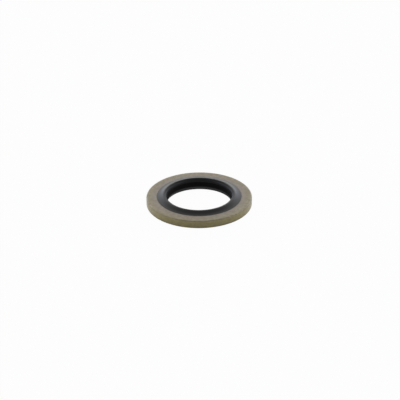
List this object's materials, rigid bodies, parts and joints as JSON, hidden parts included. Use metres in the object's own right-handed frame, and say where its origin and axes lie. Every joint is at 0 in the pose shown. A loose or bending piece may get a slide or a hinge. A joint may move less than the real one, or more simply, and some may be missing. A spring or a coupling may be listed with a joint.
{
  "type": "bonded fitting seal",
  "caption": "Flat steel sealing ring with a rubber bead moulded into its bore, standing above both faces in rounded lips.",
  "frame": {"origin": "centre of the bore, midway between the steel ring's two flat faces", "axes": "+Z along the bore, out of the face whose outer edge is rounded; the seal is round, so X and Y are any two directions across it"},
  "size_m": [0.02, 0.02, 0.0024],
  "materials": {
    "zinc_plated_steel": "matt zinc plating with an olive-yellow passivation",
    "nitrile_rubber": "smooth moulded black nitrile rubber, satin"
  },
  "bodies": {
    "root": {"metal_ring": "zinc_plated_steel", "rubber_seal": "nitrile_rubber"}
  },
  "joints": []
}
